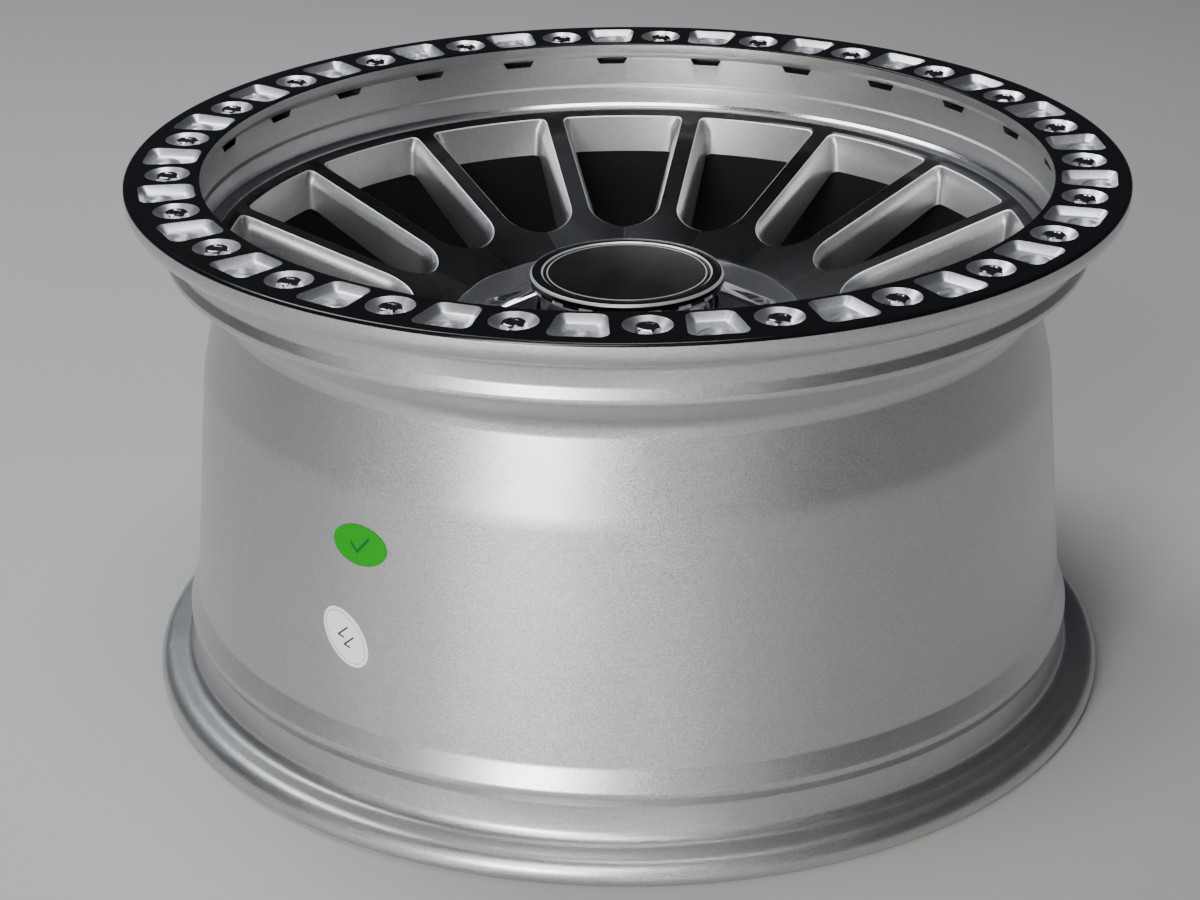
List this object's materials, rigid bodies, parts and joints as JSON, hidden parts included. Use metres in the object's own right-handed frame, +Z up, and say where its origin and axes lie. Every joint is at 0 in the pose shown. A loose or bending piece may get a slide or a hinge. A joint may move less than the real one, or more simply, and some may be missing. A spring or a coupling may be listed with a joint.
{
  "type": "wheel",
  "caption": "Cast off-road wheel rim with straight spokes, a clamp ring bolted to its front flange and a bolted centre cap on arms.",
  "frame": {"origin": "centre of the back flange's underside, which the wheel lies on", "axes": "+Z up the wheel's axis towards its front face, +X towards the valve hole, -Y towards the picture's camera"},
  "size_m": [0.4712, 0.4712, 0.254],
  "materials": {
    "cast_alloy": "silver metallic paint, with a dark tinted machined face on the spokes",
    "ring_alloy": "gloss black with bare machined pockets",
    "black_steel": "black oxide",
    "dark_chrome": "plastic with dark chrome plating",
    "black_gloss": "high gloss",
    "screw_steel": "satin",
    "sticker_green": "printed film",
    "sticker_white": "printed film"
  },
  "bodies": {
    "root": {"wheel_casting": "cast_alloy", "beadlock_ring": "ring_alloy", "ring_bolts": "black_steel", "cap_base": "dark_chrome", "cap_bezel": "black_gloss", "cap_disc": "black_gloss", "cap_screws": "screw_steel", "oval_sticker": "sticker_green", "round_sticker": "sticker_white"}
  },
  "joints": []
}
